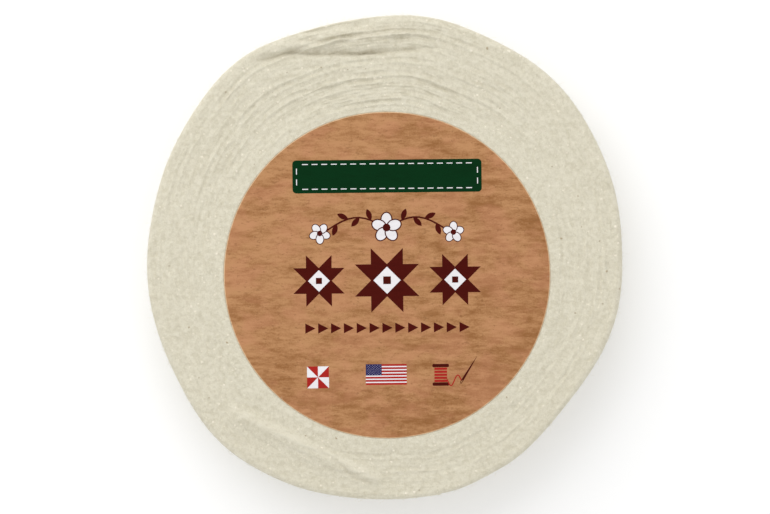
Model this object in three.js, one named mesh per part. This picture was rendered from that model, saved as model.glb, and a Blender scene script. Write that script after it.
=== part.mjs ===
// Roll of cotton quilt batting: one narrow strip wound flat on itself, with a round card label on its face.
// Millimetres, +Z up. The roll lies on its back face at z = 0, with its label up and its middle on the Z axis.
import * as THREE from "three";

// The strip as it is cut
const STRIP_WIDTH = 57.15;
const STRIP_LENGTH = 45720;

// The wound roll seen from above: a round of this radius, with soft bulges and flats around it.
// Bearings and spreads are in degrees, counted from +X towards +Y.
const ROUND_RADIUS = 186.9;
const BULGES = [
  { bearing: 48, spread: 16, height: 4.1 },
  { bearing: 79, spread: 14, height: 3.8 },
  { bearing: 127, spread: 14, height: 5.4 },
  { bearing: 168, spread: 12, height: -1.7 },
  { bearing: 226, spread: 13, height: 4.2 },
  { bearing: 243, spread: 18, height: 4.2 },
  { bearing: 286, spread: 8, height: 3.5 },
  { bearing: 302, spread: 9, height: 1.8 },
  { bearing: 322, spread: 17, height: -4.6 },
  { bearing: 2, spread: 12, height: -2.1 },
];

// The strip's cut end lies on the rim here, pressed thinner over its last stretch
const END_BEARING = 283;
const END_TAPER = 28;
const END_PRESSED = 0.65;

// The soft rounding of the rim's two edges, and how far its middle stands out.
// Angles go round each edge, from 0 on the rim's side to 90 on the face.
const SHOULDER = 4;
const FACE_EDGE = 45;
const UPPER_STEPS = [25, 0];
const LOWER_STEPS = [0, 25, 45, 90];
const BELLY = 0.8;

// The turns that show as rings. Each turn's edge has slipped up or down a little on its neighbour,
// so its height runs on from turn to turn: waves are counted for each turn of the strip.
const FIRST_RING_RADIUS = 112;
const COLUMNS = 90;
const SLIPS = [
  { waves: 0.32, height: 0.34, phase: 2.6 },
  { waves: 0.46, height: 0.42, phase: 0.3 },
  { waves: 1.31, height: 0.16, phase: 1.9 },
];

// The rings are faint over most of the face, and stand out in these soft spots of it
const FAINT = 0.3;
const BOLD_SPOTS = [
  { at: [-1, 126], reach: [88, 17], gain: 1.4 },
  { at: [-21, 173], reach: [85, 14], gain: 1.35 },
  { at: [-111, 87], reach: [48, 50], gain: 0.2 },
  { at: [10, -158], reach: [110, 26], gain: 0.12 },
];

// Turns that have slipped together: a sunk line or a raised ridge along each chord of the face.
// Inner and outer say how far it spreads towards the roll's middle and towards its rim.
const CREASES = [
  { from: [-102, 153], to: [-68, 162], inner: 2.6, outer: 2.6, height: -2.1 },
  { from: [-80, 159], to: [2, 159.5], inner: 2.6, outer: 2.6, height: -2.5 },
  { from: [-14, 159.5], to: [46, 165], inner: 2.6, outer: 2.6, height: -1.2 },
  { from: [-99, 163.5], to: [13, 172.5], inner: 6, outer: 6, height: 1.2 },
  { from: [-78, 170.5], to: [-26, 167], inner: 2.6, outer: 2.6, height: -0.9 },
  { from: [-72, 174], to: [-10, 183.5], inner: 2.6, outer: 2.6, height: -0.9 },
  { from: [-124, -117], to: [-2, -175.5], inner: 4.4, outer: 8, height: 3.8 },
  { from: [-54, -148], to: [-6, -182], inner: 2.6, outer: 2.6, height: -0.9 },
];

// The card label. The face is pressed flat under it.
const LABEL_RADIUS = 127;
const LABEL_THICKNESS = 1;
const LABEL_CENTRE = [0.5, -13.5];
const LABEL_SIDES = 96;
const LABEL_GAP = 0.3;
const PRESSED_MARGIN = 2;
const PRESSED_SLOPE = 8;

const radians = THREE.MathUtils.degToRad;
const { lerp, smoothstep } = THREE.MathUtils;

// A soft bump that is 1 at its bearing and fades within its spread
function bump(bearing, centre, spread) {
  const turned = THREE.MathUtils.euclideanModulo(bearing - centre + 180, 360) - 180;
  return Math.exp(-((turned / spread) ** 2));
}

// How far the roll reaches along a bearing
function outline(bearing) {
  const lumps = BULGES.map((bulge) => bulge.height * bump(bearing, bulge.bearing, bulge.spread));
  return ROUND_RADIUS + lumps.reduce((sum, lump) => sum + lump, 0);
}

// One layer's thickness as it is wound: the roll's area shared out along the strip
const TURN_PITCH = (Math.PI * ROUND_RADIUS ** 2) / STRIP_LENGTH;
const RINGS = Math.round((ROUND_RADIUS - FIRST_RING_RADIUS) / TURN_PITCH);

// The bearing reached after so many turns, counted from the first ring
function bearingAt(turn) {
  return END_BEARING + 360 * (turn - Math.floor(turn));
}

// How much thinner the strip has been pressed near its cut end
function pressedEnd(turn) {
  const left = (RINGS - turn) * 2 * Math.PI * ROUND_RADIUS;
  return END_PRESSED * TURN_PITCH * (1 - smoothstep(left, 0, END_TAPER));
}

// A point of the rounded edge: how far it has come in from the rim, and how far it is from the face
function shoulderAt(angle) {
  const inset = SHOULDER * (1 - Math.cos(radians(angle)));
  const drop = SHOULDER * (1 - Math.sin(radians(angle)));
  return { inset, drop };
}

// The outermost turn's reach. Half a layer is added, because the outline runs through the middle of the step.
function rimRadius(turn) {
  const behind = (RINGS - turn) * TURN_PITCH;
  return outline(bearingAt(turn)) + TURN_PITCH / 2 - behind - pressedEnd(turn);
}

// A ring's radius: the rings shrink evenly from the face's edge to the first ring
function ringRadius(turn) {
  const outermost = outline(bearingAt(turn)) + TURN_PITCH / 2 - shoulderAt(FACE_EDGE).inset;
  return lerp(FIRST_RING_RADIUS, outermost, turn / RINGS) - pressedEnd(turn);
}

// How strongly the rings stand out at a point of the face
function boldness(point) {
  const away = ({ at, reach }) => Math.hypot((point.x - at[0]) / reach[0], (point.y - at[1]) / reach[1]);
  return BOLD_SPOTS.reduce((sum, spot) => sum + spot.gain * Math.exp(-(away(spot) ** 2)), FAINT);
}

// How far a turn's edge has slipped
function slip(turn) {
  const waves = SLIPS.map((wave) => wave.height * Math.sin(2 * Math.PI * wave.waves * turn + wave.phase));
  return waves.reduce((sum, wave) => sum + wave, 0);
}

// The sunk lines and ridges at a point of the face, each fading out towards its ends
function creased(point) {
  let height = 0;
  for (const crease of CREASES) {
    const start = new THREE.Vector2(...crease.from);
    const along = new THREE.Vector2(...crease.to).sub(start);
    const share = THREE.MathUtils.clamp(point.clone().sub(start).dot(along) / along.lengthSq(), 0, 1);
    const nearest = start.addScaledVector(along, share);
    const spread = point.length() > nearest.length() ? crease.outer : crease.inner;
    const fade = 1 - (2 * share - 1) ** 4;
    height += fade * crease.height * Math.exp(-((point.distanceTo(nearest) / spread) ** 2));
  }
  return height;
}

// How far the rounded edge has dropped where a turn has this radius
function shoulderDrop(turn, radius) {
  const outermost = turn > RINGS - 1 ? turn : RINGS - 1 + (turn % 1);
  const share = 1 - THREE.MathUtils.clamp((rimRadius(outermost) - radius) / SHOULDER, 0, 1);
  return SHOULDER * (1 - Math.sqrt(1 - share ** 2));
}

// One point of the face, on the ring that the strip has reached after so many turns
function facePoint(turn) {
  const bearing = radians(bearingAt(turn));
  const radius = ringRadius(turn);
  const point = new THREE.Vector2(radius * Math.cos(bearing), radius * Math.sin(bearing));
  const toLabel = point.distanceTo(new THREE.Vector2(...LABEL_CENTRE));
  const edge = LABEL_RADIUS + PRESSED_MARGIN;
  const free = smoothstep(toLabel, edge, edge + PRESSED_SLOPE);
  const relief = boldness(point) * slip(turn) + creased(point);
  const height = STRIP_WIDTH + free * relief - shoulderDrop(turn, radius);
  return [point.x, point.y, height];
}

// The rim's levels from the upper edge to the foot, each with its inset from the outermost turn
function rimLevels() {
  const upper = UPPER_STEPS.map(shoulderAt).map(({ inset, drop }) => ({ inset, height: STRIP_WIDTH - drop }));
  const lower = LOWER_STEPS.map(shoulderAt).map(({ inset, drop }) => ({ inset, height: drop }));
  return [...upper, { inset: -BELLY, height: STRIP_WIDTH / 2 }, ...lower];
}

// The wound roll: the rings run as one spiral, and its last turn carries on down the rim to the foot
function woundRoll() {
  const points = [];
  const faces = [];
  const triangle = (a, b, c) => faces.push(a, b, c);
  const quad = (a, b, c, d) => faces.push(a, b, c, a, c, d);

  // Fills the arc between two points of a loop, halving it until nothing is left
  const fillArc = (from, to, face) => {
    if (to - from < 2) return;
    const middle = Math.floor((from + to) / 2);
    face(from, middle, to);
    fillArc(from, middle, face);
    fillArc(middle, to, face);
  };

  // Fills a whole loop: one large triangle across its middle, then the arcs around it
  const fillLoop = (first, last, face) => {
    const third = Math.round((last - first) / 3);
    const second = first + third;
    const next = second + third;
    face(first, second, next);
    face(next, last, first);
    fillArc(first, second, face);
    fillArc(second, next, face);
    fillArc(next, last, face);
  };

  for (let step = 0; step <= RINGS * COLUMNS; step += 1) points.push(facePoint(step / COLUMNS));
  fillLoop(0, COLUMNS, triangle);
  for (let step = 0; step < (RINGS - 1) * COLUMNS; step += 1) {
    quad(step, step + COLUMNS, step + COLUMNS + 1, step + 1);
  }

  let above = (RINGS - 1) * COLUMNS;
  for (const level of rimLevels()) {
    const below = points.length;
    for (let column = 0; column <= COLUMNS; column += 1) {
      const turn = RINGS - 1 + column / COLUMNS;
      const bearing = radians(bearingAt(turn));
      const radius = rimRadius(turn) - level.inset;
      points.push([radius * Math.cos(bearing), radius * Math.sin(bearing), level.height]);
    }
    for (let column = 0; column < COLUMNS; column += 1) {
      quad(above + column, below + column, below + column + 1, above + column + 1);
    }
    quad(above + COLUMNS, below + COLUMNS, below, above);
    above = below;
  }
  fillLoop(above, above + COLUMNS, (a, b, c) => triangle(a, c, b));

  const geometry = new THREE.BufferGeometry();
  geometry.setAttribute("position", new THREE.Float32BufferAttribute(points.flat(), 3));
  geometry.setIndex(faces);
  geometry.computeVertexNormals();
  return geometry;
}

// The flat card disc
function labelDisc() {
  const geometry = new THREE.CylinderGeometry(LABEL_RADIUS, LABEL_RADIUS, LABEL_THICKNESS, LABEL_SIDES);
  return geometry.rotateX(Math.PI / 2);
}

const batting = new THREE.MeshStandardMaterial({ color: 0xddd7c2, roughness: 0.95, metalness: 0 });
const kraftCard = new THREE.MeshStandardMaterial({ color: 0xb58659, roughness: 0.8, metalness: 0 });

const roll = new THREE.Mesh(woundRoll(), batting);
roll.name = "batting_roll";

const label = new THREE.Mesh(labelDisc(), kraftCard);
label.name = "label";
label.position.set(...LABEL_CENTRE, STRIP_WIDTH + LABEL_GAP + LABEL_THICKNESS / 2);

// The bulges put the roll's middle a little off the Z axis, so all of it is moved back there
roll.geometry.computeBoundingBox();
const middle = roll.geometry.boundingBox.getCenter(new THREE.Vector3());
const part = new THREE.Group();
part.add(roll, label);
part.position.set(-middle.x, -middle.y, 0);

export default part;
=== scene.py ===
# %% [markdown]
# # A roll of quilt batting
# Batting is the soft cotton layer inside a quilt. This one is cut as a narrow strip and wound flat on
# itself, so the face of the roll is made of cut edges: every ring is one more turn of the strip.
# A round card label lies on the face.
#
# The measured solids are loaded first and never changed. Everything made here is in metres, in the same
# frame, and stands where the solids say.

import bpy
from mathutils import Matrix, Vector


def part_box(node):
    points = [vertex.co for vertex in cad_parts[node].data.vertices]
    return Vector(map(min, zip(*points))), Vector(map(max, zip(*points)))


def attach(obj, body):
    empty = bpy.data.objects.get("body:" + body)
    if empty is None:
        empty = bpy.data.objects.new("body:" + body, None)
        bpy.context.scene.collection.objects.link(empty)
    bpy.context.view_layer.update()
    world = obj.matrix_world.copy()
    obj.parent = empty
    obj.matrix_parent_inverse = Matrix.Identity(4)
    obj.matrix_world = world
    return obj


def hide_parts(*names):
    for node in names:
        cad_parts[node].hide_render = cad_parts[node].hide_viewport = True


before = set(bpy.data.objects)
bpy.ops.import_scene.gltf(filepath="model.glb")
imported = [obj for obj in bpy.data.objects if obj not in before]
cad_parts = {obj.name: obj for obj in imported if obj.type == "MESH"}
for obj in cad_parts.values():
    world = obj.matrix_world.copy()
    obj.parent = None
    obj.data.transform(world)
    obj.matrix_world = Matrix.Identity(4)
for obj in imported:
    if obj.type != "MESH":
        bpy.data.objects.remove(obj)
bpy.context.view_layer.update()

# %% What the rest of the lesson uses
import math

import bmesh
import bpy
import numpy as np
from mathutils import Matrix, Vector, geometry
from mathutils.bvhtree import BVHTree

MM = 0.001
SEED = 57

label_low, label_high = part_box("label")

# %% [markdown]
# ## The camera
# The roll is seen square-on: it lies on its back and the camera looks straight down at its face, with
# the top of the label away from us. A long lens keeps the rim hidden behind the face, as it is from far
# away. One pixel of the picture is 0.778 mm at the label, and the middle of the roll's box comes at the
# pixel ROLL_MIDDLE, a hair from the picture's own middle. Colours are shown with the Standard view, so
# that a pale cloth stays as pale and creamy as its material says.

# %% Look straight down at the face
PICTURE = (770, 514)
ROLL_MIDDLE = (384.65, 257.2)
MM_PER_PIXEL = 0.778
LENS = 90
SENSOR = 36

bpy.context.scene.view_settings.view_transform = "Standard"
camera_data = bpy.data.cameras.new("camera")
camera_data.lens = LENS
camera_data.sensor_width = SENSOR
camera = bpy.data.objects.new("camera", camera_data)
bpy.context.scene.collection.objects.link(camera)
bpy.context.scene.camera = camera

camera_height = PICTURE[0] * MM_PER_PIXEL * LENS / SENSOR * MM
camera.location = (
    (PICTURE[0] / 2 - ROLL_MIDDLE[0]) * MM_PER_PIXEL * MM,
    (ROLL_MIDDLE[1] - PICTURE[1] / 2) * MM_PER_PIXEL * MM,
    label_high.z + camera_height,
)
print("camera is", round(camera_height, 2), "m above the label")

# %% [markdown]
# ## The wound form
# The strip is 57.15 mm wide and 45.72 m long. Its layers share out the area of the roll, which makes
# each wound layer 2.4 mm thick. The roll isn't quite round: it has soft bulges and flats, and each is
# one row of a small table. The same table shapes the measured solid, so the two agree. The strip's cut
# end lies at END_BEARING, pressed thinner over its last END_TAPER. The roll's edges are rounded to
# SHOULDER, and the face's own rows of points go round the upper one as far as FACE_EDGE.

# %% Sizes of the strip and the outline, in millimetres and degrees
STRIP_WIDTH = 57.15
STRIP_LENGTH = 45720
ROUND_RADIUS = 186.9
BULGES = [
    {"bearing": 48, "spread": 16, "height": 4.1},
    {"bearing": 79, "spread": 14, "height": 3.8},
    {"bearing": 127, "spread": 14, "height": 5.4},
    {"bearing": 168, "spread": 12, "height": -1.7},
    {"bearing": 226, "spread": 13, "height": 4.2},
    {"bearing": 243, "spread": 18, "height": 4.2},
    {"bearing": 286, "spread": 8, "height": 3.5},
    {"bearing": 302, "spread": 9, "height": 1.8},
    {"bearing": 322, "spread": 17, "height": -4.6},
    {"bearing": 2, "spread": 12, "height": -2.1},
]
END_BEARING = 283
END_TAPER = 28
END_PRESSED = 0.65
SHOULDER = 4
FACE_EDGE = 45
BELLY = 0.8
FIRST_RING_RADIUS = 112

TURN_PITCH = math.pi * ROUND_RADIUS**2 / STRIP_LENGTH
RINGS = round((ROUND_RADIUS - FIRST_RING_RADIUS) / TURN_PITCH)
print("layer", round(TURN_PITCH, 2), "mm thick,", RINGS, "turns show round the label")


# %% The outline, and where the strip has got to after so many turns
def smooth(value, low, high):
    """Rises softly from 0 to 1 between low and high."""
    share = np.clip((value - low) / (high - low), 0, 1)
    return share * share * (3 - 2 * share)


def bump(bearing, centre, spread):
    """A soft bump that is 1 at its bearing and fades within its spread."""
    turned = (bearing - centre + 180) % 360 - 180
    return np.exp(-((turned / spread) ** 2))


def outline(bearing):
    """How far the roll reaches along a bearing."""
    return ROUND_RADIUS + sum(b["height"] * bump(bearing, b["bearing"], b["spread"]) for b in BULGES)


def bearing_at(turn):
    """Turns are counted from the first ring that shows, and negative ones lie inside it."""
    return END_BEARING + 360 * (turn % 1)


def distance_at(turn):
    """How much strip has been wound on since the first ring."""
    return 2 * math.pi * (FIRST_RING_RADIUS * turn + TURN_PITCH * turn**2 / 2)


def pressed_end(turn):
    """How much thinner the strip has been pressed near its cut end."""
    left = (RINGS - turn) * 2 * math.pi * ROUND_RADIUS
    return END_PRESSED * TURN_PITCH * (1 - smooth(left, 0, END_TAPER))


def shoulder_at(angle):
    """A point of the rounded edge: how far in from the rim it lies, and how far from the face."""
    inset = SHOULDER * (1 - math.cos(math.radians(angle)))
    drop = SHOULDER * (1 - math.sin(math.radians(angle)))
    return inset, drop


def rim_radius(turn):
    """The outside of the outermost turn."""
    return outline(bearing_at(turn)) + TURN_PITCH / 2 - (RINGS - turn) * TURN_PITCH - pressed_end(turn)


def on_circle(radius, turn):
    """Plan points at these radii, on the turns' own bearings."""
    bearing = np.radians(bearing_at(turn))
    return np.stack([radius * np.cos(bearing), radius * np.sin(bearing)], axis=-1)


# %% [markdown]
# ## Soft unevenness
# Nothing in a roll of wadding is exact. Real noise textures are one way to get that, but they are slow
# to read point by point. A sum of plane waves with random bearings is quick, smooth, never repeats
# within the roll, and gives the same roll on every run because its seed is fixed.


# %% Uneven waves, with their lengths in millimetres
UNEVEN = {
    "rings wander": {"wavelength": 64, "seed": 1},
    "layers wander": {"wavelength": 26, "seed": 2},
    "edge lumps": {"wavelength": 20, "seed": 3},
    "felted patches": {"wavelength": 30, "seed": 4},
    "rim": {"wavelength": 40, "seed": 5},
    "cockle": {"wavelength": 95, "seed": 6},
    "felted grain": {"wavelength": 8, "seed": 7},
    "small lumps": {"wavelength": 7, "seed": 8},
    "bed": {"wavelength": 24, "seed": 9},
    "long crease bends": {"wavelength": 26, "seed": 10},
    "layer steps": {"wavelength": 60, "seed": 11},
    "long tone": {"wavelength": 55, "seed": 12},
    "short tone": {"wavelength": 14, "seed": 13},
    "large lumps": {"wavelength": 16, "seed": 14},
    "ring breaks": {"wavelength": 60, "seed": 15},
    "short crease bends": {"wavelength": 7, "seed": 16},
}
LENGTHS = (0.7, 1.6)


def soft_waves(points, wavelength, seed, count=9):
    """A smooth uneven field of the points, mostly between -1 and 1, with about this wavelength."""
    picker = np.random.default_rng(SEED + seed)
    total = np.zeros(points.shape[:-1])
    for _ in range(count):
        direction = picker.normal(size=points.shape[-1])
        length = wavelength * picker.uniform(*LENGTHS)
        direction *= 2 * math.pi / (length * np.linalg.norm(direction))
        total += np.sin(points @ direction + picker.uniform(0, 2 * math.pi))
    return total / math.sqrt(count)


def uneven(kind, points):
    """One kind of unevenness at these points."""
    return soft_waves(points, **UNEVEN[kind])


def along_strip(kind, turn):
    """Unevenness that runs on along the strip, so that neighbouring turns differ."""
    return uneven(kind, distance_at(turn)[..., None])


def mixed(parts, points):
    """Several kinds of unevenness, each with its own share."""
    return sum(share * uneven(kind, points) for kind, share in parts.items())


# %% [markdown]
# ## The face of the roll
# Each turn's cut edge is a soft low ridge with a thin gap on either side, and each has slipped up or
# down a little on its neighbour. So the mesh follows the strip: its columns go round and round as one
# spiral, and a few rows of points cross each layer. The rings are real relief. They stand out above the
# label, broken here and there, and have felted almost shut elsewhere. Under the label they are pressed
# flat, and the wadding that the card pushes aside swells up a little round it.
#
# Sunk lines and ridges run across the face where several turns have slipped together. Each is one row of a
# table. All of them wander a little, but less where a row gives a "stray" under 1, and the slit in a sunk
# line gapes wider where its row gives an "open" over 1; each slit is also painted with shade. The tallest
# ridge has a painted highlight along its lit side, paler than the cotton round it, and painted shade in the
# hollow behind it.

# %% Relief of the face, in millimetres
COLUMNS = 400
CROSSING = [
    {"share": 0.0, "sunk": 1.0, "own": 0.5},
    {"share": 0.15, "sunk": 0.55, "own": 0.75},
    {"share": 0.38, "sunk": 0.05, "own": 1.0},
    {"share": 0.62, "sunk": 0.05, "own": 1.0},
    {"share": 0.85, "sunk": 0.55, "own": 0.75},
]
SLIPS = [
    {"waves": 0.32, "height": 0.34, "phase": 2.6},
    {"waves": 0.46, "height": 0.42, "phase": 0.3},
    {"waves": 1.31, "height": 0.16, "phase": 1.9},
]
FAINT = 0.3
BOLD_SPOTS = [
    {"at": (-1, 126), "reach": (88, 17), "gain": 1.4},
    {"at": (-21, 173), "reach": (85, 14), "gain": 1.35},
    {"at": (-111, 87), "reach": (48, 50), "gain": 0.2},
    {"at": (10, -158), "reach": (110, 26), "gain": 0.12},
]
CREASES = [
    {"from": (-102, 153), "to": (-68, 162), "inner": 2.6, "outer": 2.6, "height": -2.1},
    {"from": (-80, 159), "to": (2, 159.5), "inner": 2.6, "outer": 2.6, "height": -2.5},
    {"from": (-14, 159.5), "to": (46, 165), "inner": 2.6, "outer": 2.6, "height": -1.2},
    {"from": (-99, 163.5), "to": (13, 172.5), "inner": 6, "outer": 6, "height": 1.2},
    {"from": (-78, 170.5), "to": (-26, 167), "inner": 2.6, "outer": 2.6, "height": -0.9},
    {"from": (-72, 174), "to": (-10, 183.5), "inner": 2.6, "outer": 2.6, "height": -0.9},
    {"from": (-124, -117), "to": (-2, -175.5), "inner": 4.4, "outer": 8, "height": 3.8, "stray": 0.3},
    {"from": (-54, -148), "to": (-6, -182), "inner": 2.6, "outer": 2.6, "height": -0.9, "open": 1.5},
]
SLIT = {"width": 1.2, "depth": 1.2, "full": 2.8, "shade": 0.8}
CREASE_WANDER = {"long crease bends": 0.6, "short crease bends": 0.35}
CREASE_ENDS = 6
# Painted highlight and painted shade of the tallest ridge: paler along its lit side, darker in the hollow
# behind it.
RIDGE = {"taller_than": 2, "inner": 4.8, "outer": 1.5, "paler": 3.8, "hollow": 10, "darker": 1.6}
RIDGE_SHARPNESS = 4
GAP_DEPTH = 0.4
FELTED = {"open": 0.55, "least": 0.4, "patch_edge": 1.6, "grain_mean": 0.65, "grain": 0.45}
SLIP_BREAKS = {"mean": 0.9, "swing": 0.5}
LAYER_STEPS = {"layer steps": 0.2, "edge lumps": 0.22}
LAYER_TONE = {"long tone": 0.6, "short tone": 0.4}
FAINT_TONE = 0.4
BED_LUMPS = 0.2
LAYER_WANDER = 0.3
RING_WANDER = 0.6
WANDERS_FROM = (0.5, 5)
LUMPS = {"small lumps": 0.14, "large lumps": 0.17}
PRESSED_MARGIN = 2
PRESSED_SLOPE = 8
SWELL = {"height": 0.95, "rise": (-0.5, 0.6), "fade": (5, 20)}

label_radius = (label_high.x - label_low.x) / 2 / MM
label_middle = np.array([label_low.x + label_high.x, label_low.y + label_high.y]) / 2 / MM
LABEL_FROM_ROUND = np.array([0.5, -13.5])
round_middle = label_middle - LABEL_FROM_ROUND
print("label", round(2 * label_radius, 1), "mm across, at", np.round(label_middle, 1))


# %% Where each ring runs, and how far it stands out
def boldness(plan):
    """How strongly the rings stand out at points of the face."""
    bold = np.full(len(plan), FAINT)
    for spot in BOLD_SPOTS:
        away = (plan - spot["at"]) / spot["reach"]
        bold += spot["gain"] * np.exp(-(away**2).sum(axis=1))
    return bold


def ring_radius(turn):
    """The gap on the inside of a layer. Rings wander a little, but not the outermost ones."""
    edge, _ = shoulder_at(FACE_EDGE)
    outermost = outline(bearing_at(turn)) + TURN_PITCH / 2 - edge
    mean_step = (ROUND_RADIUS + TURN_PITCH / 2 - edge - FIRST_RING_RADIUS) / RINGS
    step = np.where(turn > 0, (outermost - FIRST_RING_RADIUS) / RINGS, mean_step)
    radius = FIRST_RING_RADIUS + step * turn - pressed_end(turn)
    loose = smooth(RINGS - turn, *WANDERS_FROM)
    plan = on_circle(radius, turn)
    wave = uneven("rings wander", plan) * np.sqrt(boldness(plan))
    return radius + loose * (RING_WANDER * wave + LAYER_WANDER * along_strip("layers wander", turn))


def radius_across(turn, share):
    """The radius of a row of points that crosses every layer at the same share."""
    inner = ring_radius(turn)
    if share == 0:
        return inner
    return inner + share * (ring_radius(turn + 1) - inner)


def layer_height(turn):
    """How far the edge of one layer stands above or below its neighbours, where the rings are bold."""
    slip = sum(w["height"] * np.sin(2 * math.pi * w["waves"] * turn + w["phase"]) for w in SLIPS)
    slip *= SLIP_BREAKS["mean"] + SLIP_BREAKS["swing"] * along_strip("ring breaks", turn)
    return slip + mixed(LAYER_STEPS, distance_at(turn)[..., None])


def layer_tone(turn):
    """How much paler or darker a stretch of one layer is than the rest."""
    return mixed(LAYER_TONE, distance_at(turn)[..., None])


# %% Sunk lines and ridges
def across(plan, crease, inner, outer, sharpness=2):
    """1 along the middle of a crease, fading to either side of it and towards its ends."""
    start = np.array(crease["from"], float)
    along = np.array(crease["to"]) - start
    wandered = plan + crease.get("stray", 1) * mixed(CREASE_WANDER, plan)[:, None]
    share = np.clip((wandered - start) @ along / (along @ along), 0, 1)
    nearest = start + share[:, None] * along
    outside = np.linalg.norm(wandered, axis=1) > np.linalg.norm(nearest, axis=1)
    away = np.linalg.norm(wandered - nearest, axis=1) / np.where(outside, outer, inner)
    return (1 - (2 * share - 1) ** CREASE_ENDS) * np.exp(-(away**sharpness))


def creased(plan):
    """The height of the sunk lines and ridges."""
    return sum(row["height"] * across(plan, row, row["inner"], row["outer"]) for row in CREASES)


def slit(plan):
    """The narrow slit at the bottom of each sunk line, from 0 to 1."""
    depth = np.zeros(len(plan))
    for crease in [row for row in CREASES if row["height"] < 0]:
        wide = crease.get("open", 1) * across(plan, crease, SLIT["width"], SLIT["width"])
        depth -= crease["height"] * wide
    return np.clip(depth / SLIT["full"], 0, 1)


def ridge_painted_light(plan):
    """Painted highlight along a tall ridge's lit side, and painted shade in the hollow behind it."""
    tone = np.zeros(len(plan))
    for crease in [row for row in CREASES if row["height"] > RIDGE["taller_than"]]:
        tone += RIDGE["paler"] * across(plan, crease, RIDGE["inner"], RIDGE["outer"], RIDGE_SHARPNESS)
        tone -= RIDGE["darker"] * across(plan, crease, RIDGE["hollow"], RIDGE["outer"])
    return tone


# %% The whole height of the face
def shoulder_drop(turn, radius):
    """How far the rounded edge of the roll has dropped at a radius."""
    since_end = np.where(turn % 1 == 0, 1, turn % 1)
    share = 1 - np.clip((rim_radius(RINGS - 1 + since_end) - radius) / SHOULDER, 0, 1)
    return SHOULDER * (1 - np.sqrt(1 - share**2))


def swell_round_label(from_label):
    """The wadding that the card presses aside stands up round its edge."""
    outside = from_label - label_radius
    return SWELL["height"] * smooth(outside, *SWELL["rise"]) * (1 - smooth(outside, *SWELL["fade"]))


def gap_openness(plan, bold):
    """Where the gaps between the layers are open, and where they have felted shut."""
    patchy = 0.5 + 0.5 * np.tanh(FELTED["patch_edge"] * uneven("felted patches", plan))
    patchy = FELTED["least"] + (1 - FELTED["least"]) * patchy
    grainy = FELTED["grain_mean"] + FELTED["grain"] * uneven("felted grain", plan)
    return np.clip(FELTED["open"] * bold * patchy * grainy, 0, 1)


def face_row(share, sunk, own):
    """One row of points that crosses every layer at the same share, and the values kept on them."""
    turns = RINGS if share == 0 else RINGS - 1
    turn = np.arange(turns * COLUMNS + 1) / COLUMNS
    radius = radius_across(turn, share)
    plan = on_circle(radius, turn)
    from_label = np.linalg.norm(plan - LABEL_FROM_ROUND, axis=1)
    edge = label_radius + PRESSED_MARGIN
    free = smooth(from_label, edge, edge + PRESSED_SLOPE)
    neighbour = turn - 1 if share < 0.5 else turn + 1
    bold = boldness(plan)
    lumps = BED_LUMPS * uneven("bed", plan)
    height = bold * (own * layer_height(turn) + (1 - own) * layer_height(neighbour) + lumps)
    height += creased(plan) - SLIT["depth"] * slit(plan) + mixed(LUMPS, plan)
    # The gap sinks the point between layers, and the finish darkens it with painted shade.
    gap = free * sunk * gap_openness(plan, bold)
    height = STRIP_WIDTH + free * height - GAP_DEPTH * gap - shoulder_drop(turn, radius)
    height += swell_round_label(from_label)
    # Painted shade along the slit of each sunk line.
    gap += SLIT["shade"] * free * slit(plan)
    tone = (FAINT_TONE + bold) * (own * layer_tone(turn) + (1 - own) * layer_tone(neighbour))
    # The tone kept on the points also carries the tallest ridge's painted highlight and painted shade.
    return np.column_stack([plan, height]), gap, free, tone + ridge_painted_light(plan)


# %% [markdown]
# ## The rim and the back
# The last turn carries on down the rim: round the soft upper edge, down the outside of the strip and
# round the lower edge. The strip's cut end shows there as a step, one layer high. The back has the same
# turns as the face, all the way to the middle, pressed flat where the roll lies on them. It needs fewer
# columns, because it is seldom seen, so four columns of the rim meet one of the back.

# %% Relief of the rim and the back, in millimetres
UPPER_STEPS = [34, 22, 11, 0]
LOWER_STEPS = [0, 11, 22, 34, 50, 68]
SIDE_STEPS = 7
RIM_WAVE = 0.35
BACK_COLUMNS = COLUMNS // 4
BACK_FIRST_TURN = -46
BACK_LAST_TURN = RINGS - 2
BACK_CROSSING = [{"share": 0.0, "sunk": 1.0}, {"share": 0.3, "sunk": 0.0}, {"share": 0.7, "sunk": 0.0}]
BACK_GAP = 0.55
BACK_LEVEL = 0.15
BACK_SLIP = 0.4
BACK_BOLD = 0.9
EYE_DEPTH = 1.2
FIBRES_FROM = 10
FIBRES_FULL = 22


def rim_levels():
    """The rim from top to bottom: how far each level lies inside the outermost turn, and its height."""
    upper = [(inset, STRIP_WIDTH - drop) for inset, drop in map(shoulder_at, UPPER_STEPS)]
    heights = np.linspace(STRIP_WIDTH - SHOULDER, SHOULDER, SIDE_STEPS + 2)[1:-1]
    side = [(-BELLY * math.sin(math.pi * h / STRIP_WIDTH), h) for h in heights]
    return upper + side + [shoulder_at(angle) for angle in LOWER_STEPS]


def rim_row(inset, height):
    """One level of the rim, once round the roll."""
    turn = RINGS - 1 + np.arange(COLUMNS + 1) / COLUMNS
    plan = on_circle(rim_radius(turn), turn)
    place = np.column_stack([plan, np.full(len(plan), height)])
    swell = RIM_WAVE * math.sin(math.pi * height / STRIP_WIDTH) * uneven("rim", place)
    plan = on_circle(rim_radius(turn) - inset + swell, turn)
    return np.column_stack([plan, np.full(len(plan), height)])


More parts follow.
